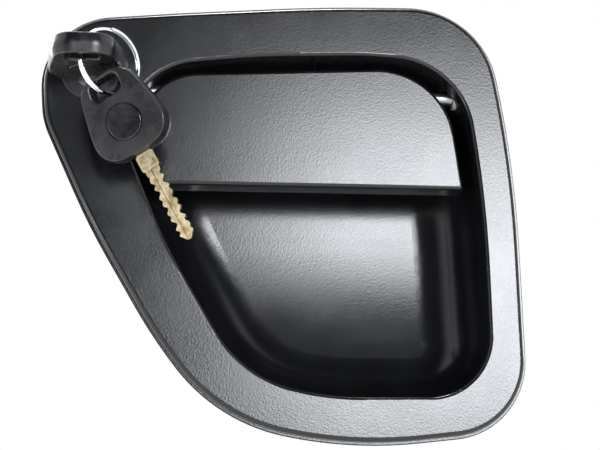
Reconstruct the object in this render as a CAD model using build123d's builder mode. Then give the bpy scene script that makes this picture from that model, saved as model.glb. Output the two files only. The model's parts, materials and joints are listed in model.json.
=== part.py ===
"""Flush door handle for a truck cab: flange, hand bowl, sprung flap, release linkage, lock and keys.

Frame: +X to the right as seen from outside the door, +Z up, -Y outwards.
The plane Y = 0 is the outside of the door skin. The origin is the middle of the flange.
All sizes are in millimetres.
"""

from build123d import *
import math
import os

os.makedirs("parts", exist_ok=True)

# ---------------------------------------------------------------- driving dimensions

# Flange and opening: corner points of the outline in X and Z, each with its corner radius.
FLANGE_CORNERS = [
    ((-116.9, 93.0), 34.3),
    ((-49.9, 99.5), 400.0),
    ((20.1, 105.1), 848.0),
    ((98.2, 106.6), 42.6),
    ((112.4, 27.9), 540.0),
    ((115.0, -99.6), 36.8),
    ((33.2, -108.1), 206.0),
    ((-29.2, -95.8), 85.1),
    ((-59.5, -57.3), 248.0),
    ((-90.2, -5.4), 325.0),
    ((-113.3, 44.5), 37.5),
]
OPENING_CORNERS = [
    ((-90.1, 69.1), 35.8),
    ((-12.1, 78.3), 495.0),
    ((39.1, 80.1), 72.9),
    ((86.6, 78.0), 39.0),
    ((96.2, 9.9), 589.0),
    ((98.0, -84.3), 29.2),
    ((22.5, -84.8), 142.0),
    ((-18.4, -75.9), 57.8),
    ((-54.5, -14.7), 219.0),
]

FLAP_CORNERS = [
    ((-83.2, 68.8), 30.0),
    ((79.8, 76.8), 38.0),
    ((88.3, 15.3), 1.4),
    ((-61.8, 15.3), 2.0),
]

# Depths along Y.
SKIN_Y = 0.0
GASKET_THICK = 1.5
FLANGE_FRONT = -6.0
FLANGE_THICK = 3.0
FLANGE_REAR = FLANGE_FRONT + FLANGE_THICK
SKIRT_REAR = SKIN_Y - GASKET_THICK
EDGE_ROLL = 2.4
RIM_ROLL = 1.6
SKIRT_WALL = 2.4
FLANGE_TRIM = 0.6
LIP_PROUD = 0.9
LIP_THICK = 0.9
BOWL_FLOOR = 38.0
BOWL_WALL = 2.5
BOWL_ROUND = 26.0
BOWL_DRAFT = 1.5
SCOOP_TOP = -2.6
SCOOP_R = 292.0

# Flap.
FLAP_FACE = -1.0
FLAP_BOTTOM = 15.3
FLAP_SKIN = 2.4
FLAP_WALL = 2.2
FLAP_REAR = 7.4
FLAP_CROWN = 8000.0
FLAP_MIDDLE = (15.0, 115.0)
FLAP_ROLL = 1.8
LIP_DEPTH = 14.0
FLAP_SCREWS = [(-24.0, 47.0), (-24.0, 27.0), (60.0, 47.0), (60.0, 27.0)]
CARRIER_FRONT = 6.8
CARRIER_THICK = 2.6

# Hinge of the flap, along X.
HINGE_Y = 8.5
HINGE_Z = 63.0
SPINDLE_R = 3.0
RUNNING = 0.05
BUSH_R = 5.0
BOSS_R = 9.0
LEFT_BOSS_END = -77.0
LEFT_BORE_END = -75.0
RIGHT_BOSS_END = 91.0
KNUCKLES = [(-20.0, -6.0), (46.0, 60.0)]
KNUCKLE_R = 6.0
PIN_R = 1.0

SPINDLE_ENDS = (-74.6, 99.0)
CLIP_AT = 97.4
LEFT_BUSH = (-75.0, -67.0)
RIGHT_BUSH = (85.0, 91.0)
SPRING_R = 5.2
SPRING_WIRE = 1.0
SPRING_START = 2.0

# Release linkage: crank on the spindle, rod and bellcrank form a parallelogram.
CRANK_X = 92.2
CRANK_THICK = 4.8
CRANK_ARM = 20.0
ROD_R = 2.0
ROD_X = 99.8
ROD_BEND = 2.6
CLIP_R = 4.2
CLIP_H = 2.0
PIVOT_Y = 33.5
PIVOT_Z = 10.0
BELL_X = 102.4
BELL_THICK = 4.0
OUTPUT_ARM = 26.0
OUTPUT_R = 2.55
SHOULDER_R = 4.0
PIVOT_BOSS_END = 101.8
PIVOT_THREAD = 8.6

# Studs towards the door.
STUD_X = [10.0, 70.0]
STUD_Z = [-93.0, 93.0]
STUD_R = 3.0
STUD_END = 22.0
STUD_ANCHOR_R = 3.6
STUD_ANCHOR_FRONT = -4.5
STUD_BOSS_R = 4.6

# Hooks, retaining bracket, ribs and stop.
HOOKS = [(-52.5, 98.2), (-20.5, 101.0)]
HOOK_WIDTH = 5.0
CATCH_FRONT = 2.2
BRACKET_X = 53.5
BRACKET_WIDTH = 15.0
BRACKET_SEAT = 88.0
BRACKET_THICK = 1.5
BRACKET_TOP = 105.2
BRACKET_REAR = 23.0
BRACKET_SCREW_Y = [9.0, 18.0]
TOP_RIBS = [-36.0, -4.0, 26.0]
BOTTOM_RIBS = [-4.0, 28.0, 50.0]
RIB_THICK = 2.0
BUFFER_X = 94.6
BUFFER_R = 3.2
LUG_BASE = 72.0
GASKET_WIDTH = 5.0
BUFFER_Y = 23.0

# Lock, along Y.
LOCK_X = -92.0
LOCK_Z = 67.5
LOCK_BODY_R = 11.0
LOCK_BOSS_R = 13.0
LOCK_BOSS_REAR = 20.0
LOCK_REAR = 44.0
COLLAR_R = 12.6
COLLAR_THICK = 0.9
PLUG_R = 7.0
PLUG_FACE = -7.3
CLIP_THICK = 1.1
WAFERS = 8
WAFER_FIRST = 3.0
WAFER_PITCH = 4.0
WAFER_SIZE = (12.8, 1.0, 5.0)

CAP_R = 13.6
PLUG_HEAD_R = 7.8
NECK_FROM = 36.0
NECK_R = 9.0
KEYWAY_REAR = 38.5
TAIL = 6.4
TAIL_REAR = 46.6
CAM_ARM = 24.0
CAM_EYE_R = 2.05

# Keys.
BOW_THICK = 9.6
BLADE_WIDTH = 7.0
BLADE_THICK = 2.2
BLADE_LENGTH = 45.0
BLADE_ROOT = 9.0
ROOT_WIDTH = 8.8
ROOT_THICK = 2.8
TANG = 10.0
TANG_WIDTH = 8.0
CUTS = [1.0, 1.6, 0.6, 1.3, 0.7, 1.6, 1.1, 0.5]
BOW_CORNERS = [
    ((-40.5, -12.4), 10.4),
    ((-40.5, 12.4), 10.4),
    ((-18.0, 17.8), 50.0),
    ((0.0, 19.9), 11.5),
    ((1.1, 0.0), 60.0),
    ((0.0, -19.9), 11.5),
    ((-18.0, -17.8), 50.0),
]
BOW_TAPER = 12.0
BOW_BULGE = 8.0
BOW_ROLL = 0.6
HOLE_ROLL = 1.2
BADGE_R = 8.2
BADGE_AT = -15.0
KEY_FACE = -9.0

# Split ring.
RING_R = 15.3
RING_CENTRE = (-81.2, -31.5, 64.3)
RING_WIRE = (1.5, 1.2)
RING_TURN = 38.0

# Spare key: where its blade leaves the bow, and its lean from the vertical.
SPARE_ROOT = (-64.9, -33.0, 22.45)
SPARE_LEAN = 28.9
SPARE_TWIST = 20.0


# ---------------------------------------------------------------- helpers

def facing(y):
    """Plane at depth y that looks outwards: its own axes are X and Z."""
    return Plane.XZ.offset(-y)


def across(x):
    """Plane at x that looks along +X: its own axes are Y and Z."""
    return Plane.YZ.offset(x)


def grown(corners, amount):
    """Corner points and radii of a clockwise outline moved outwards by an amount, or inwards."""
    moved = []
    for i, (point, radius) in enumerate(corners):
        here = Vector(*point)
        before = (here - Vector(*corners[i - 1][0])).normalized()
        after = (Vector(*corners[(i + 1) % len(corners)][0]) - here).normalized()
        out = Vector(-before.Y, before.X) + Vector(-after.Y, after.X)
        shifted = here + out * (amount / (1 + before.dot(after)))
        moved.append(((shifted.X, shifted.Y), max(radius + amount, 0.0)))
    return moved


def outline(corners, y, grow=0.0, top=None):
    """Closed rounded outline at depth y, grown or shrunk all round and cut off above a height."""
    points = grown(corners, grow)
    with BuildSketch(facing(y)) as shape:
        with BuildLine():
            FilletPolyline(*[p for p, r in points], radius=[r for p, r in points], close=True)
        make_face()
        if top is not None:
            with Locations((0, top - 200)):
                Rectangle(400, 400, mode=Mode.INTERSECT)
    return shape.sketch


def disc(plane, centre, radius, hole=0.0):
    """Round or ring-shaped sketch on a plane."""
    with BuildSketch(plane) as shape:
        with Locations(centre):
            Circle(radius)
            if hole:
                Circle(hole, mode=Mode.SUBTRACT)
    return shape.sketch


def save(builder, name):
    """Label a finished piece and write it."""
    builder.part.label = name
    export_step(builder.part, f"parts/{name}.step")


# ---------------------------------------------------------------- casing

def bowl_block(grow, floor, round_r):
    """Drafted block with a rounded far end, used for the bowl's outside and for its hollow."""
    with BuildPart() as block:
        extrude(outline(OPENING_CORNERS, FLANGE_FRONT, grow), amount=floor - FLANGE_FRONT,
                dir=(0, 1, 0), taper=BOWL_DRAFT)
        # The lower half of the floor curves forward.
        with BuildSketch(across(-150)):
            with Locations((floor, SCOOP_TOP - 75)):
                Rectangle(60, 150)
            with Locations((BOWL_FLOOR - SCOOP_R, SCOOP_TOP)):
                Circle(SCOOP_R + floor - BOWL_FLOOR, mode=Mode.SUBTRACT)
        extrude(amount=300, mode=Mode.SUBTRACT)
        flat, curved = block.faces().sort_by(Axis.Y)[-2:]
        edges = [e for e in flat.edges() + curved.edges() if e.geom_type != GeomType.LINE
                 or abs(e.center().Z - SCOOP_TOP) > 0.01]
        fillet(edges, round_r)
    return block.part


def housing():
    """Moulded flange, bowl, lock boss, hinge bosses, hooks and ribs."""
    hollow = bowl_block(0.0, BOWL_FLOOR, BOWL_ROUND)
    shell = bowl_block(BOWL_WALL, BOWL_FLOOR + BOWL_WALL, BOWL_ROUND + BOWL_WALL)
    plate = outline(FLANGE_CORNERS, FLANGE_FRONT, -FLANGE_TRIM)
    with BuildPart() as body:
        # Flange plate with a rolled outer edge.
        extrude(plate, amount=FLANGE_FRONT - SKIRT_REAR)
        fillet(body.faces().sort_by(Axis.Y)[0].edges(), EDGE_ROLL)
        # Hollow behind the plate leaves a skirt.
        extrude(outline(FLANGE_CORNERS, FLANGE_REAR, -FLANGE_TRIM - SKIRT_WALL),
                amount=FLANGE_REAR - SKIRT_REAR, mode=Mode.SUBTRACT)
        # Sealing lip round the skirt.
        extrude(outline(FLANGE_CORNERS, SKIRT_REAR - LIP_THICK, LIP_PROUD - FLANGE_TRIM),
                amount=-LIP_THICK)
        extrude(outline(FLANGE_CORNERS, SKIRT_REAR - LIP_THICK, -FLANGE_TRIM - SKIRT_WALL),
                amount=-LIP_THICK, mode=Mode.SUBTRACT)
        # Bowl.
        add(shell)
        # Lock boss.
        extrude(disc(facing(FLANGE_REAR), (LOCK_X, LOCK_Z), LOCK_BOSS_R),
                amount=FLANGE_REAR - LOCK_BOSS_REAR)
        # Hinge bosses on the bowl's side walls.
        extrude(disc(across(LEFT_BOSS_END), (HINGE_Y, HINGE_Z), BOSS_R), amount=27)
        extrude(disc(across(RIGHT_BOSS_END), (HINGE_Y, HINGE_Z), BOSS_R), amount=-21)
        # Bellcrank boss on the bowl's right wall.
        extrude(disc(across(PIVOT_BOSS_END), (PIVOT_Y, PIVOT_Z), 7.0), amount=-20)
        # Stop lug over the crank.
        with Locations((84, BUFFER_Y, LUG_BASE + 2.5)):
            Box(26, 9, 5)
        # Stud bosses.
        for x in STUD_X:
            for z in STUD_Z:
                extrude(disc(facing(FLANGE_REAR), (x, z), STUD_BOSS_R),
                        amount=FLANGE_REAR - SKIN_Y)
        # Block under the retaining bracket.
        with Locations((BRACKET_X, 13, 84)):
            Box(17, 24, 8)
        # Two moulded hooks that catch behind the door skin.
        for x, top in HOOKS:
            with Locations((x, 8, top - 17)):
                Box(HOOK_WIDTH, 16, 22)
            with Locations((x, CATCH_FRONT + 1.1, top - 8)):
                Box(HOOK_WIDTH, 2.2, 16)
        # Ribs between the flange and the bowl.
        for x in TOP_RIBS:
            with Locations((x, 3, 84)):
                Box(RIB_THICK, 12, 16)
        for x in BOTTOM_RIBS:
            with Locations((x, 3, -87)):
                Box(RIB_THICK, 12, 10)
        # Hand hollow, with its rim rolled.
        add(hollow, mode=Mode.SUBTRACT)
        rim = body.faces().sort_by(Axis.Y)[0].inner_wires()[0]
        fillet(rim.edges(), RIM_ROLL)
        # Bores for the lock, the bushes, the pivot screw, the studs, the stop and the bracket.
        extrude(disc(facing(-10), (LOCK_X, LOCK_Z), LOCK_BODY_R + RUNNING),
                amount=-40, mode=Mode.SUBTRACT)
        extrude(disc(facing(-10), (LOCK_X, LOCK_Z), COLLAR_R + 0.3),
                amount=-4.6, mode=Mode.SUBTRACT)
        extrude(disc(across(LEFT_BORE_END), (HINGE_Y, HINGE_Z), BUSH_R),
                amount=25, mode=Mode.SUBTRACT)
        extrude(disc(across(RIGHT_BOSS_END), (HINGE_Y, HINGE_Z), BUSH_R),
                amount=-21, mode=Mode.SUBTRACT)
        extrude(disc(across(PIVOT_BOSS_END), (PIVOT_Y, PIVOT_Z), 2.5),
                amount=-PIVOT_THREAD - 0.4, mode=Mode.SUBTRACT)
        for x in STUD_X:
            for z in STUD_Z:
                extrude(disc(facing(STUD_ANCHOR_FRONT), (x, z), STUD_ANCHOR_R),
                        amount=-10, mode=Mode.SUBTRACT)
        with BuildSketch(Plane.XY.offset(LUG_BASE)):
            with Locations((BUFFER_X, BUFFER_Y)):
                Circle(1.5)
        extrude(amount=5.0, mode=Mode.SUBTRACT)
        with BuildSketch(Plane.XY.offset(88)):
            with Locations(*[(BRACKET_X, y) for y in BRACKET_SCREW_Y]):
                Circle(1.7)
        extrude(amount=-5.5, mode=Mode.SUBTRACT)
    save(body, "housing")
    return body.part


def flange_gasket():
    """Flat rubber ring that seals the flange against the door skin."""
    with BuildPart() as ring:
        extrude(outline(FLANGE_CORNERS, SKIRT_REAR, LIP_PROUD - FLANGE_TRIM + 0.5),
                amount=-GASKET_THICK)
        extrude(outline(FLANGE_CORNERS, SKIRT_REAR, -FLANGE_TRIM - GASKET_WIDTH),
                amount=-GASKET_THICK, mode=Mode.SUBTRACT)
    save(ring, "flange_gasket")


def retaining_bracket():
    """Pressed steel angle that catches behind the door skin above the bowl."""
    with BuildPart() as angle:
        with BuildSketch(across(BRACKET_X)):
            with BuildLine():
                Polyline((CATCH_FRONT, BRACKET_TOP), (CATCH_FRONT, BRACKET_SEAT),
                         (BRACKET_REAR, BRACKET_SEAT),
                         (BRACKET_REAR, BRACKET_SEAT + BRACKET_THICK),
                         (CATCH_FRONT + BRACKET_THICK, BRACKET_SEAT + BRACKET_THICK),
                         (CATCH_FRONT + BRACKET_THICK, BRACKET_TOP), close=True)
            make_face()
        extrude(amount=BRACKET_WIDTH / 2, both=True)
        fillet(angle.edges().filter_by(Axis.X).group_by(Axis.Z)[0].sort_by(Axis.Y)[0], 1.3)
        with BuildSketch(Plane.XY.offset(BRACKET_SEAT)):
            with Locations(*[(BRACKET_X, y) for y in BRACKET_SCREW_Y]):
                Circle(2.1)
        extrude(amount=10, mode=Mode.SUBTRACT)
    save(angle, "retaining_bracket")


def pan_screw(seat, direction, head_r, head_h, shank_r, shank_l):
    """Pan-head screw: the seat is under the head, the shank runs along the direction."""
    base = Plane(origin=seat, z_dir=direction)
    with BuildPart() as screw:
        with BuildSketch(base):
            Circle(shank_r)
        extrude(amount=shank_l)
        chamfer(screw.faces().sort_by(Axis(seat, direction))[-1].edges(), shank_r * 0.3)
        with BuildSketch(base):
            Circle(head_r)
        extrude(amount=-head_h)
        top = screw.faces().sort_by(Axis(seat, direction))[0]
        fillet(top.edges(), head_h * 0.45)
        with BuildSketch(base.offset(-head_h)):
            Rectangle(head_r * 1.1, head_r * 0.28)
            Rectangle(head_r * 0.28, head_r * 1.1)
        extrude(amount=head_h * 0.55, mode=Mode.SUBTRACT)
    return screw.part


def screw_group(name, screws):
    """Identical screws kept together as one node."""
    with BuildPart() as group:
        for screw in screws:
            add(screw)
    save(group, name)


def mounting_studs():
    """Four studs with threads towards the door, each moulded into the flange by its head."""
    with BuildPart() as studs:
        for x in STUD_X:
            for z in STUD_Z:
                extrude(disc(facing(STUD_ANCHOR_FRONT), (x, z), STUD_ANCHOR_R),
                        amount=STUD_ANCHOR_FRONT - SKIN_Y)
                extrude(disc(facing(SKIN_Y), (x, z), STUD_R), amount=SKIN_Y - STUD_END)
        chamfer(studs.faces().filter_by(Axis.Y).group_by(Axis.Y)[-1].edges(), 0.8)
    save(studs, "mounting_studs")


# ---------------------------------------------------------------- flap

def crowned(front, rear, inset, radius):
    """Prism of the flap's outline with its front cut to a very shallow dome."""
    with BuildPart() as body:
        extrude(outline(FLAP_CORNERS, front, -inset), amount=front - rear)
        with Locations((FLAP_MIDDLE[0], FLAP_FACE + FLAP_CROWN, FLAP_MIDDLE[1])):
            Sphere(radius, mode=Mode.INTERSECT)
    return body.part


def flap_cover():
    """Moulded face of the flap: crowned skin, edge walls, rolled finger lip and screw posts."""
    pocket = crowned(FLAP_FACE - 3, FLAP_REAR + 1, FLAP_WALL, FLAP_CROWN - FLAP_SKIN)
    with BuildPart() as cover:
        add(crowned(FLAP_FACE - 3, FLAP_REAR, 0.0, FLAP_CROWN))
        fillet(cover.faces().sort_by(Axis.Y)[0].edges(), FLAP_ROLL)
        # Finger ledge along the bottom, with its rear edge turned up.
        extrude(outline(FLAP_CORNERS, FLAP_FACE + 4, top=FLAP_BOTTOM + FLAP_WALL),
                amount=FLAP_FACE + 4 - LIP_DEPTH)
        extrude(outline(FLAP_CORNERS, LIP_DEPTH - FLAP_WALL, top=FLAP_BOTTOM + 5.5),
                amount=-FLAP_WALL)
        add(pocket, mode=Mode.SUBTRACT)
        for centre in FLAP_SCREWS:
            extrude(disc(facing(CARRIER_FRONT), centre, 3.6), amount=5.8)
            extrude(disc(facing(CARRIER_FRONT), centre, 1.3), amount=4.8, mode=Mode.SUBTRACT)
        # Notches in the end walls, for the bush on the left and for the spindle on the right.
        for start, notch_r in ((-90, BUSH_R + 0.6), (0, SPINDLE_R + 0.6)):
            with BuildSketch(across(start)):
                with Locations((HINGE_Y, HINGE_Z)):
                    Circle(notch_r)
                with Locations((HINGE_Y + 4, HINGE_Z)):
                    Rectangle(8, 2 * notch_r)
            extrude(amount=90 if start else 100, mode=Mode.SUBTRACT)
    save(cover, "flap_cover")


def flap_carrier():
    """Cast frame behind the face, with two knuckles on the spindle."""
    with BuildPart() as carrier:
        extrude(outline(FLAP_CORNERS, CARRIER_FRONT, -FLAP_WALL - 0.6, top=54.0),
                amount=-CARRIER_THICK)
        # Two stiffening ribs along the back.
        for z in (37.0, 21.0):
            with Locations((15, CARRIER_FRONT + CARRIER_THICK + 1, z)):
                Box(60, 2, 2)
        for x0, x1 in KNUCKLES:
            with BuildSketch(across(x0)):
                with Locations((HINGE_Y, HINGE_Z)):
                    Circle(KNUCKLE_R)
                with Locations((CARRIER_FRONT + CARRIER_THICK / 2, 56)):
                    Rectangle(CARRIER_THICK, 14)
            extrude(amount=x1 - x0)
            middle = (x0 + x1) / 2
            extrude(disc(facing(-2), (middle, HINGE_Z), PIN_R), amount=-24,
                    mode=Mode.SUBTRACT)
        extrude(disc(across(-60), (HINGE_Y, HINGE_Z), SPINDLE_R + RUNNING), amount=160,
                mode=Mode.SUBTRACT)
        for centre in FLAP_SCREWS:
            extrude(disc(facing(0), centre, 1.7), amount=-20, mode=Mode.SUBTRACT)
    save(carrier, "flap_carrier")


def spindle():
    """Steel shaft that the flap hangs on, with pin holes and a clip groove."""
    start, end = SPINDLE_ENDS
    with BuildPart() as shaft:
        extrude(disc(across(start), (HINGE_Y, HINGE_Z), SPINDLE_R), amount=end - start)
        chamfer(shaft.edges().filter_by(GeomType.CIRCLE), 0.5)
        extrude(disc(across(CLIP_AT), (HINGE_Y, HINGE_Z), SPINDLE_R + 1, 2.3), amount=0.8,
                mode=Mode.SUBTRACT)
        for x0, x1 in KNUCKLES:
            extrude(disc(facing(-2), ((x0 + x1) / 2, HINGE_Z), PIN_R), amount=-24,
                    mode=Mode.SUBTRACT)
        with BuildSketch(Plane.XY.offset(HINGE_Z - 10)):
            with Locations((CRANK_X + CRANK_THICK / 2, HINGE_Y)):
                Circle(PIN_R)
        extrude(amount=20, mode=Mode.SUBTRACT)
    save(shaft, "spindle")


def spindle_bush(name, start, end, collar_at=None):
    """Plain bearing bush for the spindle, with a collar outside the bowl where one fits."""
    with BuildPart() as bush:
        extrude(disc(across(start), (HINGE_Y, HINGE_Z), BUSH_R - 0.02, SPINDLE_R + RUNNING),
                amount=end - start)
        if collar_at is not None:
            extrude(disc(across(collar_at), (HINGE_Y, HINGE_Z), 6.8, SPINDLE_R + RUNNING),
                    amount=0.9)
    save(bush, name)


def spindle_clip():
    """Spring-steel E-ring in the groove at the end of the spindle."""
    with BuildPart() as clip:
        with BuildSketch(across(CLIP_AT + 0.05)):
            with Locations((HINGE_Y, HINGE_Z)):
                Circle(5.2)
                Circle(2.35, mode=Mode.SUBTRACT)
            with Locations((HINGE_Y - 4, HINGE_Z)):
                Rectangle(8, 3.2, mode=Mode.SUBTRACT)
        extrude(amount=0.7)
    save(clip, "spindle_clip")


def carrier_pins():
    """Two roll pins through the knuckles and the spindle."""
    with BuildPart() as pins:
        for x0, x1 in KNUCKLES:
            extrude(disc(facing(HINGE_Y - KNUCKLE_R), ((x0 + x1) / 2, HINGE_Z), PIN_R, 0.5),
                    amount=-2 * KNUCKLE_R)
    save(pins, "carrier_pins")


def torsion_spring(plane, radius, wire_r, pitch, turns, legs, lefthand=False):
    """Round-wire spring that starts on the plane's x axis, with a straight leg at each end."""
    coil = plane.location * Helix(pitch, pitch * turns, radius, lefthand=lefthand)
    with BuildPart() as spring:
        with BuildLine() as path:
            add(coil)
        with BuildSketch(Plane(origin=coil @ 0, z_dir=coil % 0)) as start:
            Circle(wire_r)
        sweep(path=path.line, is_frenet=True)
        extrude(start.sketch, amount=-legs[0])
        with BuildSketch(Plane(origin=coil @ 1, z_dir=coil % 1)):
            Circle(wire_r)
        extrude(amount=legs[1])
    return spring


def return_spring():
    """Torsion spring round the spindle that pulls the flap shut."""
    first = math.radians(188.5)
    start = Plane(origin=(SPRING_START, HINGE_Y, HINGE_Z),
                  x_dir=(0, math.cos(first), math.sin(first)), z_dir=(1, 0, 0))
    spring = torsion_spring(start, SPRING_R, SPRING_WIRE, 2.3, 6.171, (16.5, 16.2), lefthand=True)
    save(spring, "return_spring")


# ---------------------------------------------------------------- release linkage

def crank_lever():
    """Lever pinned to the outer end of the spindle; it points to the rear."""
    with BuildPart() as crank:
        with BuildSketch(across(CRANK_X)):
            with Locations((HINGE_Y, HINGE_Z)):
                Circle(7.0)
            with Locations((HINGE_Y + CRANK_ARM, HINGE_Z)):
                Circle(4.5)
            make_hull()
        extrude(amount=CRANK_THICK)
        fillet(crank.edges().filter_by(GeomType.CIRCLE), 0.5)
        extrude(disc(across(CRANK_X), (HINGE_Y, HINGE_Z), SPINDLE_R + RUNNING),
                amount=CRANK_THICK, mode=Mode.SUBTRACT)
        extrude(disc(across(CRANK_X), (HINGE_Y + CRANK_ARM, HINGE_Z), ROD_R + RUNNING),
                amount=CRANK_THICK, mode=Mode.SUBTRACT)
        with BuildSketch(Plane.XY.offset(HINGE_Z - 10)):
            with Locations((CRANK_X + CRANK_THICK / 2, HINGE_Y)):
                Circle(PIN_R)
        extrude(amount=20, mode=Mode.SUBTRACT)
    save(crank, "crank_lever")


def crank_roll_pin():
    """Roll pin through the crank's hub and the spindle."""
    with BuildPart() as pin:
        with BuildSketch(Plane.XY.offset(HINGE_Z - 6.9)):
            with Locations((CRANK_X + CRANK_THICK / 2, HINGE_Y)):
                Circle(PIN_R)
                Circle(0.5, mode=Mode.SUBTRACT)
        extrude(amount=13.8)
    save(pin, "crank_roll_pin")


def link_rod():
    """Round rod bent out at both ends; it joins the crank to the bellcrank."""
    run = Vector(0, PIVOT_Y - HINGE_Y, PIVOT_Z - HINGE_Z)
    bent = Plane(origin=(0, HINGE_Y + CRANK_ARM, HINGE_Z), x_dir=(1, 0, 0),
                 z_dir=Vector(1, 0, 0).cross(run))
    with BuildPart() as rod:
        with BuildLine(bent) as path:
            FilletPolyline((CRANK_X - CLIP_H - 0.5, 0), (ROD_X, 0), (ROD_X, run.length),
                           (BELL_X + BELL_THICK + CLIP_H + 0.5, run.length), radius=ROD_BEND)
        with BuildSketch(Plane(origin=path.line @ 0, z_dir=(1, 0, 0))):
            Circle(ROD_R)
        sweep(path=path.line)
    save(rod, "link_rod")


def link_clips():
    """Plastic clips that keep the rod's ends in the levers."""
    upper = (HINGE_Y + CRANK_ARM, HINGE_Z)
    lower = (PIVOT_Y + CRANK_ARM, PIVOT_Z)
    with BuildPart() as clips:
        extrude(disc(across(CRANK_X - 0.05), upper, CLIP_R, ROD_R), amount=-CLIP_H)
        extrude(disc(across(BELL_X + BELL_THICK + 0.05), lower, CLIP_R, ROD_R), amount=CLIP_H)
    save(clips, "link_clips")


def bellcrank():
    """Right-angled lever that turns the rod's push into a pull at the output eye."""
    hub = (PIVOT_Y, PIVOT_Z)
    with BuildPart() as lever:
        for end, end_r in (((PIVOT_Y + CRANK_ARM, PIVOT_Z), 4.5),
                           ((PIVOT_Y, PIVOT_Z - OUTPUT_ARM), 5.5)):
            with BuildSketch(across(BELL_X)):
                with Locations(hub):
                    Circle(8.5)
                with Locations(end):
                    Circle(end_r)
                make_hull()
            extrude(amount=BELL_THICK)
        extrude(disc(across(BELL_X), hub, 5.5), amount=BELL_THICK, mode=Mode.SUBTRACT)
        extrude(disc(across(BELL_X), (PIVOT_Y + CRANK_ARM, PIVOT_Z), ROD_R + RUNNING),
                amount=BELL_THICK, mode=Mode.SUBTRACT)
        extrude(disc(across(BELL_X), (PIVOT_Y, PIVOT_Z - OUTPUT_ARM), OUTPUT_R),
                amount=BELL_THICK, mode=Mode.SUBTRACT)
    save(lever, "bellcrank")


def bellcrank_bush():
    """Flanged bush pressed into the bellcrank."""
    hub = (PIVOT_Y, PIVOT_Z)
    with BuildPart() as bush:
        extrude(disc(across(BELL_X - 0.45), hub, 5.48, SHOULDER_R + RUNNING), amount=4.7)
        extrude(disc(across(BELL_X - 0.45), hub, 7.0, SHOULDER_R + RUNNING), amount=0.45)
    save(bush, "bellcrank_bush")


def bellcrank_screw():
    """Shouldered screw that the bellcrank turns on."""
    hub = (PIVOT_Y, PIVOT_Z)
    with BuildPart() as screw:
        extrude(disc(across(PIVOT_BOSS_END), hub, 2.48), amount=-PIVOT_THREAD)
        extrude(disc(across(PIVOT_BOSS_END), hub, SHOULDER_R), amount=5.1)
        extrude(disc(across(PIVOT_BOSS_END + 5.1), hub, 6.6), amount=2.6)
        fillet(screw.faces().sort_by(Axis.X)[-1].edges(), 0.8)
        with BuildSketch(across(PIVOT_BOSS_END + 7.7)):
            with Locations(hub):
                RegularPolygon(2.9, 6)
        extrude(amount=-1.8, mode=Mode.SUBTRACT)
    save(screw, "bellcrank_screw")


def stop_buffer():
    """Rubber buffer in the lug over the crank; the shut flap rests on it."""
    with BuildPart() as buffer:
        with BuildSketch(Plane.XY.offset(LUG_BASE)):
            with Locations((BUFFER_X, BUFFER_Y)):
                Circle(BUFFER_R)
        extrude(amount=-3.2)
        with BuildSketch(Plane.XY.offset(LUG_BASE)):
            with Locations((BUFFER_X, BUFFER_Y)):
                Circle(1.48)
        extrude(amount=5.0)
        with BuildSketch(Plane.XY.offset(LUG_BASE + 5)):
            with Locations((BUFFER_X, BUFFER_Y)):
                Circle(2.4)
        extrude(amount=1.2)
    save(buffer, "stop_buffer")


# ---------------------------------------------------------------- lock

LOCK_CENTRE = (LOCK_X, LOCK_Z)


def lock_disc(y, radius, hole=0.0):
    """Round or ring-shaped sketch on the lock's axis at depth y."""
    return disc(facing(y), LOCK_CENTRE, radius, hole)


def lock_box(y0, y1, width, height, mode=Mode.ADD):
    """Box on the lock's axis between two depths."""
    with Locations((LOCK_X, (y0 + y1) / 2, LOCK_Z)):
        Box(width, y1 - y0, height, mode=mode)


def wafer_depths():
    """Front face of each wafer."""
    return [WAFER_FIRST + WAFER_PITCH * i for i in range(WAFERS)]


def lock_housing():
    """Die-cast barrel of the lock, with its front collar, clip groove and rear neck."""
    with BuildPart() as barrel:
        extrude(lock_disc(FLANGE_FRONT - COLLAR_THICK, COLLAR_R), amount=-COLLAR_THICK)
        extrude(lock_disc(FLANGE_FRONT, LOCK_BODY_R), amount=FLANGE_FRONT - NECK_FROM)
        extrude(lock_disc(NECK_FROM, NECK_R), amount=NECK_FROM - LOCK_REAR)
        extrude(lock_disc(LOCK_BOSS_REAR, LOCK_BODY_R + 2, LOCK_BODY_R - 1.2),
                amount=-CLIP_THICK - 0.1, mode=Mode.SUBTRACT)
        extrude(lock_disc(-20, PLUG_R + RUNNING), amount=-80, mode=Mode.SUBTRACT)
        lock_box(1, 34, 18, 5.4, mode=Mode.SUBTRACT)
    save(barrel, "lock_housing")


def lock_seal():
    """Rubber ring under the lock's collar."""
    with BuildPart() as seal:
        extrude(lock_disc(FLANGE_FRONT, COLLAR_R + 0.2, LOCK_BODY_R + 0.1), amount=-0.6)
    save(seal, "lock_seal")


def lock_clip():
    """Horseshoe spring clip that holds the barrel in its boss from behind."""
    grip = LOCK_BODY_R - 1.15
    with BuildPart() as clip:
        with BuildSketch(facing(LOCK_BOSS_REAR + 0.05)):
            with Locations(LOCK_CENTRE):
                Circle(14.4)
                Circle(grip, mode=Mode.SUBTRACT)
            with Locations((LOCK_X, LOCK_Z - 10)):
                Rectangle(2 * grip, 20, mode=Mode.SUBTRACT)
        extrude(amount=-CLIP_THICK)
    save(clip, "lock_clip")


def lock_cap():
    """Black trim cap snapped over the lock's collar."""
    front = FLANGE_FRONT - COLLAR_THICK - 0.8
    with BuildPart() as cap:
        extrude(lock_disc(front, CAP_R), amount=front - FLANGE_FRONT)
        fillet(cap.faces().sort_by(Axis.Y)[0].edges(), 0.7)
        extrude(lock_disc(front + 0.75, COLLAR_R + 0.05), amount=-3, mode=Mode.SUBTRACT)
        extrude(lock_disc(front - 1, PLUG_HEAD_R + 0.1), amount=-5, mode=Mode.SUBTRACT)
    save(cap, "lock_cap")


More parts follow.
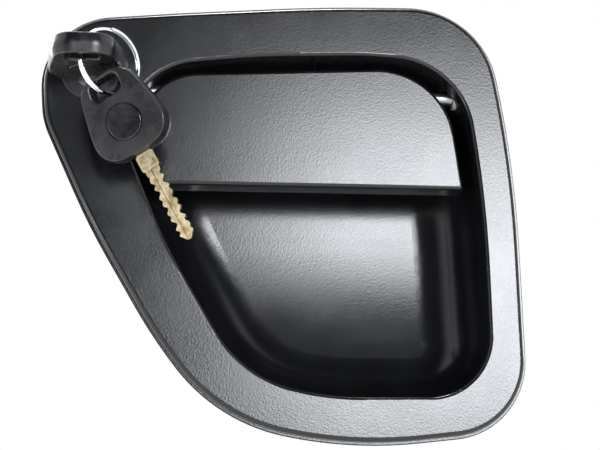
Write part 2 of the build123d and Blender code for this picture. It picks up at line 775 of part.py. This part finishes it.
def lock_plug():
    """Turning plug with its keyway, wafer windows and square tail."""
    with BuildPart() as plug:
        extrude(lock_disc(PLUG_FACE, PLUG_HEAD_R), amount=-0.4)
        extrude(lock_disc(PLUG_FACE, PLUG_R), amount=PLUG_FACE - LOCK_REAR)
        chamfer(plug.faces().sort_by(Axis.Y)[0].edges(), 0.25)
        lock_box(LOCK_REAR, TAIL_REAR, TAIL, TAIL)
        lock_box(PLUG_FACE - 1, KEYWAY_REAR, BLADE_WIDTH + 0.4, BLADE_THICK + 0.4,
                 mode=Mode.SUBTRACT)
        lock_box(PLUG_FACE - 1, KEY_FACE + BLADE_ROOT + 0.5, ROOT_WIDTH + 0.4, ROOT_THICK + 0.4,
                 mode=Mode.SUBTRACT)
        for y in wafer_depths():
            lock_box(y - 0.05, y + 1.05, 14.4, WAFER_SIZE[2] + 0.2, mode=Mode.SUBTRACT)
            with Locations((LOCK_X - 2, y + 0.5, LOCK_Z + 3.2)):
                Box(6, 1.1, 1.2, mode=Mode.SUBTRACT)
        extrude(lock_disc(TAIL_REAR, 2.0), amount=7, mode=Mode.SUBTRACT)
    save(plug, "lock_plug")


def wafer_tumblers():
    """Brass wafers, each with a window for the blade, drawn level by the key."""
    width, thick, height = WAFER_SIZE
    with BuildPart() as wafers:
        for y in wafer_depths():
            lock_box(y, y + thick, width, height)
            lock_box(y, y + thick, BLADE_WIDTH + 0.3, BLADE_THICK + 0.4, mode=Mode.SUBTRACT)
    save(wafers, "wafer_tumblers")


def wafer_springs():
    """Small coil spring of square wire beside each wafer."""
    with BuildPart() as springs:
        for y in wafer_depths():
            centre = Vector(LOCK_X - 4.6, y + 0.5, LOCK_Z + 3.2)
            with BuildLine() as path:
                Helix(0.8, 4.8, 0.36, center=centre, direction=(1, 0, 0))
            with BuildSketch(Plane(origin=path.line @ 0, z_dir=path.line % 0)):
                Rectangle(0.18, 0.18)
            sweep(path=path.line, is_frenet=True)
    save(springs, "wafer_springs")


def cam_spring():
    """Spring round the barrel's neck that brings the key back upright."""
    start = Plane(origin=(LOCK_X, NECK_FROM + 0.9, LOCK_Z), x_dir=(1, 0, 0), z_dir=(0, 1, 0))
    save(torsion_spring(start, NECK_R + 0.9, 0.6, 1.5, 3.75, (7.0, 7.0)), "cam_spring")


def cam_lever():
    """Steel lever on the plug's square tail, with an eye for the lock rod."""
    with BuildPart() as lever:
        with BuildSketch(facing(LOCK_REAR + 0.2)):
            with Locations(LOCK_CENTRE):
                Circle(8.5)
            with Locations((LOCK_X, LOCK_Z - CAM_ARM)):
                Circle(5.0)
            make_hull()
            with Locations(LOCK_CENTRE):
                Rectangle(TAIL + 0.1, TAIL + 0.1, mode=Mode.SUBTRACT)
            with Locations((LOCK_X, LOCK_Z - CAM_ARM)):
                Circle(CAM_EYE_R, mode=Mode.SUBTRACT)
        extrude(amount=-2.0)
    save(lever, "cam_lever")


# ---------------------------------------------------------------- keys and ring

def key_plane(root, along, normal):
    """Plane in the middle of a key: x runs from the bow to the tip, z is the bow's face."""
    return Plane(origin=root, x_dir=along, z_dir=normal)


def spare_plane():
    """Middle plane of the spare key as it hangs."""
    lean = math.radians(SPARE_LEAN)
    twist = math.radians(SPARE_TWIST)
    along = Vector(math.sin(lean), 0, -math.cos(lean))
    right = Vector(math.cos(lean), 0, math.sin(lean))
    normal = Vector(0, -1, 0) * math.cos(twist) - right * math.sin(twist)
    return key_plane(SPARE_ROOT, along, normal)


def bow_outline(plane):
    """Outline of a key head on a plane, at its widest line."""
    with BuildSketch(plane) as shape:
        with BuildLine():
            FilletPolyline(*[p for p, r in BOW_CORNERS], radius=[r for p, r in BOW_CORNERS],
                           close=True)
        make_face()
    return shape.sketch


def ring_hole(plane):
    """Rounded wedge across the narrow end of a key's head."""
    with BuildSketch(plane) as hole:
        with BuildLine():
            FilletPolyline((-37.4, -7.0), (-37.4, 7.0), (-29.0, 6.4), (-28.0, -8.6),
                           radius=[3.0, 3.0, 2.6, 3.0], close=True)
        make_face()
    return hole.sketch


def key_bow(plane, name):
    """Moulded key head: rolled edge, dished faces, ring hole, badge seat and blade pocket."""
    half = BOW_THICK / 2
    with BuildPart() as bow:
        # Two tapered halves meet at the widest line, which is then rounded over.
        middle = bow_outline(plane)
        for side in (1, -1):
            extrude(middle, amount=half, dir=plane.z_dir * side, taper=BOW_TAPER)
        widest = bow.edges().filter_by(lambda e: abs(plane.to_local_coords(e.center()).Z) < 0.01)
        fillet(widest, BOW_BULGE)
        for side in (1, -1):
            face = bow.faces().sort_by(Axis(plane.origin, plane.z_dir * side))[-1]
            fillet(face.edges(), BOW_ROLL)
        # Ring hole with rolled edges.
        extrude(ring_hole(plane.offset(-half)), amount=BOW_THICK, mode=Mode.SUBTRACT)
        for side in (1, -1):
            face = bow.faces().sort_by(Axis(plane.origin, plane.z_dir * side))[-1]
            fillet(face.inner_wires()[0].edges(), HOLE_ROLL)
        # Badge seat on the face.
        with BuildSketch(plane.offset(half)):
            with Locations((BADGE_AT, 0)):
                Circle(BADGE_R + 0.5)
        extrude(amount=-1.0, mode=Mode.SUBTRACT)
        # Pocket for the blade.
        with BuildSketch(plane.offset(-BLADE_THICK / 2)):
            with Locations((-TANG / 2 + 1, 0)):
                Rectangle(TANG + 2, TANG_WIDTH)
        extrude(amount=BLADE_THICK, mode=Mode.SUBTRACT)
    save(bow, name)
    return bow.part


def key_badge(plane, name):
    """Plain round badge set in the head: a shallow dome with a groove round it."""
    with BuildPart() as badge:
        with BuildSketch(plane.offset(BOW_THICK / 2 - 1.0)):
            with Locations((BADGE_AT, 0)):
                Circle(BADGE_R)
        extrude(amount=1.3)
        fillet(badge.faces().sort_by(Axis(plane.origin, plane.z_dir))[-1].edges(), 0.5)
    save(badge, name)


def key_blade(plane, name):
    """Nickel silver blade: tang, stamped root, long groove and cuts along both edges."""
    half = BLADE_WIDTH / 2
    with BuildPart() as blade:
        # Tang inside the head and the blade itself.
        with BuildSketch(plane.offset(-BLADE_THICK / 2)):
            with Locations((-TANG / 2, 0)):
                Rectangle(TANG, TANG_WIDTH)
            with BuildLine():
                Polyline((0, -half), (BLADE_LENGTH - 3.2, -half), (BLADE_LENGTH, -0.9),
                         (BLADE_LENGTH, 0.9), (BLADE_LENGTH - 3.2, half), (0, half), close=True)
            make_face()
        extrude(amount=BLADE_THICK)
        # Stamped root.
        with BuildSketch(plane.offset(-ROOT_THICK / 2)):
            with Locations((BLADE_ROOT / 2 + 0.6, 0)):
                RectangleRounded(BLADE_ROOT - 1.2, ROOT_WIDTH, 0.8)
        extrude(amount=ROOT_THICK)
        # Cuts for the wafers, along both edges.
        for side, depths in ((1, CUTS), (-1, CUTS[::-1])):
            for i, depth in enumerate(depths):
                u = BLADE_ROOT + 3.4 + WAFER_PITCH * i
                with BuildSketch(plane.offset(-BLADE_THICK)):
                    with BuildLine():
                        Polyline((u - 0.5 - depth, side * (half + 0.1)),
                                 (u - 0.5, side * (half - depth)),
                                 (u + 0.5, side * (half - depth)),
                                 (u + 0.5 + depth, side * (half + 0.1)), close=True)
                    make_face()
                extrude(amount=2 * BLADE_THICK, mode=Mode.SUBTRACT)
        # Groove along each face and a window frame pressed into the root.
        for side in (-1, 1):
            with BuildSketch(plane.offset(side * BLADE_THICK / 2)):
                with Locations((BLADE_ROOT + (BLADE_LENGTH - BLADE_ROOT) / 2, 0)):
                    Rectangle(BLADE_LENGTH - BLADE_ROOT + 2, 1.4)
            extrude(amount=-side * 0.55, mode=Mode.SUBTRACT)
            with BuildSketch(plane.offset(side * ROOT_THICK / 2)):
                with Locations((BLADE_ROOT / 2 + 0.6, 0)):
                    RectangleRounded(5.4, 6.4, 0.5)
                    RectangleRounded(3.6, 4.6, 0.3, mode=Mode.SUBTRACT)
            extrude(amount=-side * 0.25, mode=Mode.SUBTRACT)
    save(blade, name)


def split_ring():
    """Flat-wire split ring: just under two turns lying side by side."""
    turn = math.radians(RING_TURN)
    out = Vector(-math.cos(turn), -math.sin(turn), 0)
    axis = out.cross(Vector(0, 0, 1))
    wide, deep = RING_WIRE
    rise = deep + 0.12
    turns = 1.93
    base = Plane(origin=Vector(*RING_CENTRE) - axis * (rise * turns / 2), x_dir=(0, 0, 1),
                 z_dir=axis)
    coil = base.location * Helix(rise, rise * turns, RING_R)
    with BuildPart() as ring:
        with BuildLine() as path:
            add(coil)
        with BuildSketch(Plane(origin=coil @ 0, x_dir=(0, 0, 1), z_dir=coil % 0)):
            RectangleRounded(wide, deep, 0.45)
        sweep(path=path.line, is_frenet=True)
    save(ring, "split_ring")
    return ring.part


# ---------------------------------------------------------------- build every piece

housing()
flange_gasket()
retaining_bracket()
screw_group("bracket_screws", [
    pan_screw((BRACKET_X, y, BRACKET_SEAT + BRACKET_THICK), (0, 0, -1), 3.4, 2.2, 1.65, 6.5)
    for y in BRACKET_SCREW_Y])
mounting_studs()

flap_cover()
flap_carrier()
screw_group("flap_screws", [
    pan_screw((x, CARRIER_FRONT + CARRIER_THICK, z), (0, -1, 0), 3.0, 2.0, 1.25, 6.6)
    for x, z in FLAP_SCREWS])
spindle()
spindle_bush("spindle_bush_left", *LEFT_BUSH)
spindle_bush("spindle_bush_right", *RIGHT_BUSH, collar_at=RIGHT_BOSS_END)
spindle_clip()
carrier_pins()
return_spring()

crank_lever()
crank_roll_pin()
link_rod()
link_clips()
bellcrank()
bellcrank_bush()
bellcrank_screw()
stop_buffer()

lock_housing()
lock_seal()
lock_clip()
lock_cap()
lock_plug()
wafer_tumblers()
wafer_springs()
cam_spring()
cam_lever()
screw_group("cam_screw", [
    pan_screw((LOCK_X, TAIL_REAR, LOCK_Z), (0, -1, 0), 5.0, 2.4, 1.95, 6.5)])

FIRST_KEY = key_plane((LOCK_X, KEY_FACE, LOCK_Z), (0, 1, 0), (0, 0, -1))
key_bow(FIRST_KEY, "key_bow")
key_badge(FIRST_KEY, "key_badge")
key_blade(FIRST_KEY, "key_blade")
split_ring()
key_bow(spare_plane(), "spare_key_bow")
key_badge(spare_plane(), "spare_key_badge")
key_blade(spare_plane(), "spare_key_blade")
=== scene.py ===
"""Looks of a flush truck-cab door handle with its lock, keys and release linkage."""

import json
import math

import bpy
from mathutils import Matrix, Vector


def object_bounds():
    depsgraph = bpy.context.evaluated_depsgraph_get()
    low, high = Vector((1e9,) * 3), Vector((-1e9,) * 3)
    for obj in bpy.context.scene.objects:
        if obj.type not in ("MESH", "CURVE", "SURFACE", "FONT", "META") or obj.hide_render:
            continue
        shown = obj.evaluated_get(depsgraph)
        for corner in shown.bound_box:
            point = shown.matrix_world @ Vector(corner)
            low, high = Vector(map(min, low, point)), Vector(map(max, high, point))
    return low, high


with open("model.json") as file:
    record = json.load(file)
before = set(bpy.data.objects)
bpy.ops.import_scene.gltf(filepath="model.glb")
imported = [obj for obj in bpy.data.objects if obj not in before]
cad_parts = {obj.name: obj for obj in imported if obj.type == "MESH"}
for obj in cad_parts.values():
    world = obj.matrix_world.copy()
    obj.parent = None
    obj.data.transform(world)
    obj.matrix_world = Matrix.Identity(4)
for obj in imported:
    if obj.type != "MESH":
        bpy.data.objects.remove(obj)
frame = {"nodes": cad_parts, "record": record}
cad_low, cad_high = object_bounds()

MM = 0.001

# ---------------------------------------------------------------- node helpers


class Surface:
    """A node material that is built up step by step around one Principled shader."""

    def __init__(self, name):
        self.material = bpy.data.materials.new(name)
        self.material.use_nodes = True
        self.nodes = self.material.node_tree.nodes
        self.links = self.material.node_tree.links
        self.shader = self.nodes["Principled BSDF"]
        self.place = self.nodes.new("ShaderNodeTexCoord").outputs["Object"]
        self.height = None

    def set(self, **values):
        """Set shader inputs by name, with _ for a space."""
        for key, value in values.items():
            self.shader.inputs[key.replace("_", " ")].default_value = value

    def feed(self, socket, key):
        """Link a socket to a shader input."""
        self.links.new(socket, self.shader.inputs[key])

    def stretched(self, scale, turn=(0.0, 0.0, 0.0)):
        """Object coordinates scaled and turned, for grain that runs one way."""
        mapping = self.nodes.new("ShaderNodeMapping")
        mapping.inputs["Scale"].default_value = scale
        mapping.inputs["Rotation"].default_value = turn
        self.links.new(self.place, mapping.inputs["Vector"])
        return mapping.outputs["Vector"]

    def noise(self, size, detail=3.0, rough=0.5, vector=None):
        """Noise whose features are about this size in metres."""
        noise = self.nodes.new("ShaderNodeTexNoise")
        noise.inputs["Scale"].default_value = 1.0 / size
        noise.inputs["Detail"].default_value = detail
        noise.inputs["Roughness"].default_value = rough
        self.links.new(vector or self.place, noise.inputs["Vector"])
        return noise.outputs["Fac"]

    def cells(self, size):
        """Rounded cells of about this size in metres, as in a moulded grain."""
        cells = self.nodes.new("ShaderNodeTexVoronoi")
        cells.feature = "SMOOTH_F1"
        cells.inputs["Scale"].default_value = 1.0 / size
        self.links.new(self.place, cells.inputs["Vector"])
        return cells.outputs["Distance"]

    def ramp(self, socket, low, high, from_value, to_value):
        """Map a socket from low..high onto from_value..to_value, smoothly."""
        node = self.nodes.new("ShaderNodeMapRange")
        node.interpolation_type = "SMOOTHSTEP"
        node.inputs["From Min"].default_value = low
        node.inputs["From Max"].default_value = high
        node.inputs["To Min"].default_value = from_value
        node.inputs["To Max"].default_value = to_value
        self.links.new(socket, node.inputs["Value"])
        return node.outputs["Result"]

    def maths(self, kind, a, b):
        """One arithmetic step; b may be a number."""
        node = self.nodes.new("ShaderNodeMath")
        node.operation = kind
        self.links.new(a, node.inputs[0])
        if isinstance(b, (int, float)):
            node.inputs[1].default_value = b
        else:
            self.links.new(b, node.inputs[1])
        return node.outputs["Value"]

    def blend(self, factor, first, second):
        """Mix two colours or colour sockets by a factor socket."""
        node = self.nodes.new("ShaderNodeMix")
        node.data_type = "RGBA"
        self.links.new(factor, node.inputs["Factor"])
        for value, socket in ((first, node.inputs[6]), (second, node.inputs[7])):
            if isinstance(value, tuple):
                socket.default_value = (*value, 1.0)
            else:
                self.links.new(value, socket)
        return node.outputs[2]

    def edges(self, strength=1.0):
        """0 on flats and hollows, towards 1 on outer edges."""
        point = self.nodes.new("ShaderNodeNewGeometry").outputs["Pointiness"]
        flat = 0.5
        return self.ramp(point, flat + 0.02 / strength, flat + 0.12 / strength, 0.0, 1.0)

    def bump(self, socket, height):
        """Add relief from a socket, height in metres at its full range."""
        node = self.nodes.new("ShaderNodeBump")
        node.inputs["Strength"].default_value = 1.0
        node.inputs["Distance"].default_value = height
        self.links.new(socket, node.inputs["Height"])
        if self.height is not None:
            self.links.new(self.height, node.inputs["Normal"])
        self.height = node.outputs["Normal"]
        self.feed(self.height, "Normal")


# ---------------------------------------------------------------- materials

GRAIN_HEIGHT = 0.02 * MM
FINE_GRAIN = 0.7 * MM
SCRATCH_SCALE = (18.0, 400.0, 900.0)
SCRATCH_TURN = (0.0, 0.35, 0.0)
SCRATCH_HEIGHT = 0.006 * MM
RUBBED_BLACK = (0.09, 0.09, 0.095)

def moulded_black(name, shade, roughness, grain, scratches=0.0):
    """Satin black plastic with a fine moulded grain, handling smudges and light scratches."""
    s = Surface(name)
    smudge = s.noise(28 * MM, 4.0, 0.6)
    dark = tuple(0.8 * c for c in shade)
    pale = tuple(1.35 * c for c in shade)
    colour = s.blend(s.ramp(smudge, 0.35, 0.7, 0.0, 1.0), dark, pale)
    worn = s.edges(1.2)
    s.feed(s.blend(s.maths("MULTIPLY", worn, 0.35), colour, RUBBED_BLACK), "Base Color")
    fine = s.noise(FINE_GRAIN, 2.0)
    rough = s.maths("ADD", s.ramp(smudge, 0.3, 0.75, roughness - 0.015, roughness + 0.02),
                    s.ramp(fine, 0.3, 0.7, -0.02, 0.02))
    if scratches:
        lines = s.noise(1.0, 5.0, 0.55, s.stretched(SCRATCH_SCALE, SCRATCH_TURN))
        line = s.ramp(lines, 0.70, 0.73, 0.0, 1.0)
        rough = s.maths("ADD", rough, s.maths("MULTIPLY", line, 0.12 * scratches))
        s.bump(line, SCRATCH_HEIGHT * scratches)
    s.feed(rough, "Roughness")
    s.bump(s.cells(grain), GRAIN_HEIGHT)
    s.bump(fine, GRAIN_HEIGHT)
    s.set(Specular_IOR_Level=0.5)
    return s.material


def key_head_black(name, roughness):
    """Harder black plastic, polished by handling, with fine scuffs and rubbed edges."""
    s = Surface(name)
    hand = s.noise(9 * MM, 4.0, 0.6)
    worn = s.edges(1.0)
    base = s.blend(s.ramp(hand, 0.35, 0.7, 0.0, 1.0), (0.006, 0.006, 0.007), (0.013, 0.013, 0.014))
    s.feed(s.blend(s.maths("MULTIPLY", worn, 0.3), base, (0.07, 0.07, 0.072)), "Base Color")
    scuffs = s.noise(1.0, 4.0, 0.6, s.stretched((240.0, 60.0, 1500.0), (0.3, 0.8, 0.2)))
    rough = s.maths("ADD", s.ramp(hand, 0.3, 0.75, roughness - 0.06, roughness + 0.12),
                    s.ramp(scuffs, 0.6, 0.72, 0.0, 0.12))
    s.feed(rough, "Roughness")
    s.bump(s.noise(0.6 * MM, 3.0), 0.008 * MM)
    s.bump(s.noise(6.0 * MM, 2.0), 0.05 * MM)
    s.set(Specular_IOR_Level=0.55)
    return s.material


def metal(name, colour, second, roughness, spread=0.06, patch=6 * MM, brushed=None, grain=0.01):
    """Bare or plated metal: two tones in patches, varied roughness and a fine finish."""
    s = Surface(name)
    clouds = s.noise(patch, 4.0, 0.6)
    tone = s.blend(s.ramp(clouds, 0.35, 0.68, 0.0, 1.0), colour, second)
    bright = tuple(min(1.0, 1.25 * c) for c in colour)
    s.feed(s.blend(s.maths("MULTIPLY", s.edges(1.0), 0.6), tone, bright), "Base Color")
    s.set(Metallic=1.0)
    if brushed:
        finish = s.noise(1.0, 3.0, 0.6, s.stretched(brushed))
    else:
        finish = s.noise(0.5 * MM, 3.0, 0.6)
    rough = s.maths("ADD", s.ramp(clouds, 0.3, 0.7, roughness - spread, roughness + spread),
                    s.ramp(finish, 0.35, 0.7, -0.04, 0.05))
    s.feed(rough, "Roughness")
    s.bump(finish, grain * MM)
    return s.material


def rubber(name):
    """Matt black rubber with a bloom of dust."""
    s = Surface(name)
    dust = s.noise(4 * MM, 5.0, 0.65)
    s.feed(s.blend(s.ramp(dust, 0.45, 0.75, 0.0, 1.0), (0.012, 0.012, 0.012),
                   (0.035, 0.034, 0.033)), "Base Color")
    s.feed(s.ramp(dust, 0.3, 0.7, 0.62, 0.85), "Roughness")
    s.bump(s.noise(0.4 * MM, 3.0), 0.03 * MM)
    return s.material


def natural_plastic(name, colour):
    """Undyed nylon or acetal: slightly translucent, faintly mottled."""
    s = Surface(name)
    mottle = s.noise(2.5 * MM, 3.0)
    yellow = (colour[0], colour[1] * 0.95, colour[2] * 0.82)
    s.feed(s.blend(s.ramp(mottle, 0.35, 0.7, 0.0, 1.0), colour, yellow), "Base Color")
    s.feed(s.ramp(mottle, 0.3, 0.7, 0.38, 0.5), "Roughness")
    s.set(Subsurface_Weight=0.25, Subsurface_Scale=0.002)
    s.bump(s.noise(0.5 * MM, 2.0), 0.01 * MM)
    return s.material


MATERIALS = {
    "textured_nylon": moulded_black("textured_nylon", (0.005, 0.0052, 0.006), 0.19, 0.9 * MM),
    "flap_plastic": moulded_black("flap_plastic", (0.005, 0.005, 0.0058), 0.19, 0.9 * MM, 0.4),
    "satin_black_plastic": moulded_black("satin_black_plastic", (0.01, 0.01, 0.011), 0.36,
                                         0.5 * MM),
    "key_head_plastic": key_head_black("key_head_plastic", 0.26),
    "badge_plastic": key_head_black("badge_plastic", 0.16),
    "clip_plastic": natural_plastic("clip_plastic", (0.72, 0.71, 0.64)),
    "bearing_plastic": natural_plastic("bearing_plastic", (0.62, 0.6, 0.54)),
    "seal_rubber": rubber("seal_rubber"),
    "zinc_plated_steel": metal("zinc_plated_steel", (0.62, 0.64, 0.68), (0.66, 0.65, 0.58), 0.3),
    "screw_steel": metal("screw_steel", (0.6, 0.6, 0.62), (0.52, 0.52, 0.5), 0.32, patch=3 * MM),
    "spring_steel": metal("spring_steel", (0.3, 0.3, 0.31), (0.22, 0.21, 0.2), 0.35,
                          patch=3 * MM),
    "bright_steel": metal("bright_steel", (0.34, 0.34, 0.35), (0.27, 0.27, 0.28), 0.36,
                          brushed=(2500.0, 60.0, 60.0)),
    "die_cast_zinc": metal("die_cast_zinc", (0.42, 0.43, 0.45), (0.36, 0.36, 0.37), 0.45,
                           grain=0.03),
    "wafer_brass": metal("wafer_brass", (0.75, 0.55, 0.25), (0.62, 0.45, 0.2), 0.3),
    # Painted shade: the dark bronze second tone of nickel_silver, in 3 mm patches, stands in for
    # dark reflections on the key blade.
    "nickel_silver": metal("nickel_silver", (0.62, 0.53, 0.36), (0.3, 0.21, 0.09), 0.2,
                           spread=0.06, patch=3 * MM, grain=0.02),
    "ring_chrome": metal("ring_chrome", (0.86, 0.87, 0.88), (0.78, 0.78, 0.79), 0.09,
                         spread=0.03, grain=0.004),
}


def paint_frame():
    """Give every CAD node the material of its record slot."""
    slots = {part["node"]: part["material_slot"] for part in frame["record"]["subparts"]}
    for name, node in frame["nodes"].items():
        node.data.materials.clear()
        node.data.materials.append(MATERIALS[slots[name]])


paint_frame()


# ---------------------------------------------------------------- stage, light and camera


FLOOR_HALF = 3.0
FLOOR_DROP = 0.09


def add_floor():
    """Pale floor well below the handle, which hangs as it would on a door."""
    half, height = FLOOR_HALF, cad_low.z - FLOOR_DROP
    mesh = bpy.data.meshes.new("floor")
    corners = [(-half, -half, height), (half, -half, height), (half, half, height),
               (-half, half, height)]
    mesh.from_pydata(corners, [], [(0, 1, 2, 3)])
    floor = bpy.data.objects.new("floor", mesh)
    bpy.context.scene.collection.objects.link(floor)
    s = Surface("floor_paint")
    s.feed(s.blend(s.noise(0.2), (0.80, 0.80, 0.79), (0.84, 0.84, 0.83)), "Base Color")
    s.set(Roughness=0.8)
    mesh.materials.append(s.material)


# Soft panel: its edges and their softness in degrees, seen from the handle.
PANEL_AZIMUTH = (3.5, 26.0)
PANEL_ELEVATION = (-0.1, 15.6)
PANEL_SOFT = 4.5
PANEL_POWER = 27.0
# Brightness of the surroundings behind the handle and in front of it.
BACK_POWER = 0.45
FRONT_POWER = 0.02
# Dim glow to both sides, where it starts and is full in degrees either way from the front.
SIDE_START, SIDE_FULL = 38.0, 62.0
SIDE_POWER = 1.2


def add_world():
    """Surroundings: pale behind and to the sides, dim in front, and a soft panel front right."""
    world = bpy.data.worlds.new("studio")
    bpy.context.scene.world = world
    world.use_nodes = True
    nodes, links = world.node_tree.nodes, world.node_tree.links
    nodes.clear()

    def maths(kind, a, b=0.0):
        node = nodes.new("ShaderNodeMath")
        node.operation = kind
        for socket, value in zip(node.inputs, (a, b)):
            if isinstance(value, (int, float)):
                socket.default_value = value
            else:
                links.new(value, socket)
        return node.outputs["Value"]

    def step(value, low, high):
        node = nodes.new("ShaderNodeMapRange")
        node.interpolation_type = "SMOOTHSTEP"
        node.inputs["From Min"].default_value = low
        node.inputs["From Max"].default_value = high
        links.new(value, node.inputs["Value"])
        return node.outputs["Result"]

    axes = nodes.new("ShaderNodeSeparateXYZ")
    links.new(nodes.new("ShaderNodeTexCoord").outputs["Generated"], axes.inputs["Vector"])
    x, y, z = (axes.outputs[i] for i in range(3))
    azimuth = maths("DEGREES", maths("ARCTAN2", x, maths("MULTIPLY", y, -1.0)))
    elevation = maths("DEGREES", maths("ARCSINE", z))
    inside = None
    for value, (low, high) in ((azimuth, PANEL_AZIMUTH), (elevation, PANEL_ELEVATION)):
        for part in (step(value, low - PANEL_SOFT, low + PANEL_SOFT),
                     step(value, high + PANEL_SOFT, high - PANEL_SOFT)):
            inside = part if inside is None else maths("MULTIPLY", inside, part)
    behind = maths("MULTIPLY", step(y, -0.05, 0.35), BACK_POWER)
    sides = maths("MULTIPLY", step(maths("ABSOLUTE", azimuth), SIDE_START, SIDE_FULL),
                  maths("SUBTRACT", SIDE_POWER, behind))
    ambient = maths("ADD", maths("ADD", behind, maths("MAXIMUM", sides)), FRONT_POWER)
    power = maths("ADD", maths("MULTIPLY", inside, PANEL_POWER), ambient)

    soft = nodes.new("ShaderNodeBackground")
    soft.inputs["Color"].default_value = (0.93, 0.96, 1.0, 1.0)
    links.new(power, soft.inputs["Strength"])
    seen = nodes.new("ShaderNodeBackground")
    seen.inputs["Color"].default_value = (1.0, 1.0, 1.0, 1.0)
    seen.inputs["Strength"].default_value = 1.0
    mix = nodes.new("ShaderNodeMixShader")
    links.new(nodes.new("ShaderNodeLightPath").outputs["Is Camera Ray"], mix.inputs["Fac"])
    links.new(soft.outputs["Background"], mix.inputs[1])
    links.new(seen.outputs["Background"], mix.inputs[2])
    output = nodes.new("ShaderNodeOutputWorld")
    links.new(mix.outputs["Shader"], output.inputs["Surface"])


# Soft square lamps: name, place, point aimed at, size and power.
LAMPS = [
    ("back_left", (-0.7, 0.7, 0.6), (0.0, 0.02, 0.0), 0.6, 4.0),
    ("front_left", (-0.70, -0.31, -0.27), (-0.08, -0.03, 0.05), 0.25, 3.0),
    ("front_low", (-0.10, -0.34, -0.62), (0.0, 0.0, 0.0), 0.25, 4.0),
    ("back_right", (0.8, 0.6, 0.3), (0.0, 0.02, 0.0), 0.6, 4.0),
]
OVERHEAD_POWER = 2.5
OVERHEAD_SPREAD = math.radians(15.0)


def add_lamp(name, place, aim, size, power):
    """Soft square lamp at a place, aimed at a point."""
    lamp = bpy.data.lights.new(name, "AREA")
    lamp.shape = "SQUARE"
    lamp.size = size
    lamp.energy = power
    holder = bpy.data.objects.new(name, lamp)
    holder.location = place
    holder.rotation_euler = (Vector(aim) - Vector(place)).to_track_quat("-Z", "Y").to_euler()
    bpy.context.scene.collection.objects.link(holder)


def add_overhead():
    """Broad light from straight above, mostly for the floor."""
    lamp = bpy.data.lights.new("overhead", "SUN")
    lamp.energy = OVERHEAD_POWER
    lamp.angle = OVERHEAD_SPREAD
    holder = bpy.data.objects.new("overhead", lamp)
    bpy.context.scene.collection.objects.link(holder)


CAMERA_TARGET = Vector((8.4, 0.0, -3.5)) * MM
CAMERA_AZIMUTH = math.radians(-5.0)
CAMERA_ELEVATION = math.radians(-11.0)
CAMERA_DISTANCE = 0.56
CAMERA_LENS = 70.6
CAMERA_SENSOR = 36.0


def add_camera():
    """Camera a little to the left of the handle and a little below it, looking up."""
    azimuth, elevation = CAMERA_AZIMUTH, CAMERA_ELEVATION
    back = Vector((math.sin(azimuth) * math.cos(elevation),
                   -math.cos(azimuth) * math.cos(elevation), math.sin(elevation)))
    camera = bpy.data.cameras.new("camera")
    camera.sensor_width = CAMERA_SENSOR
    camera.lens = CAMERA_LENS
    camera.clip_start = 0.01
    holder = bpy.data.objects.new("camera", camera)
    holder.location = CAMERA_TARGET + back * CAMERA_DISTANCE
    holder.rotation_euler = (-back).to_track_quat("-Z", "Y").to_euler()
    bpy.context.scene.collection.objects.link(holder)
    bpy.context.scene.camera = holder


bpy.context.scene.view_settings.view_transform = "Standard"
add_floor()
add_world()
for lamp_settings in LAMPS:
    add_lamp(*lamp_settings)
add_overhead()
add_camera()
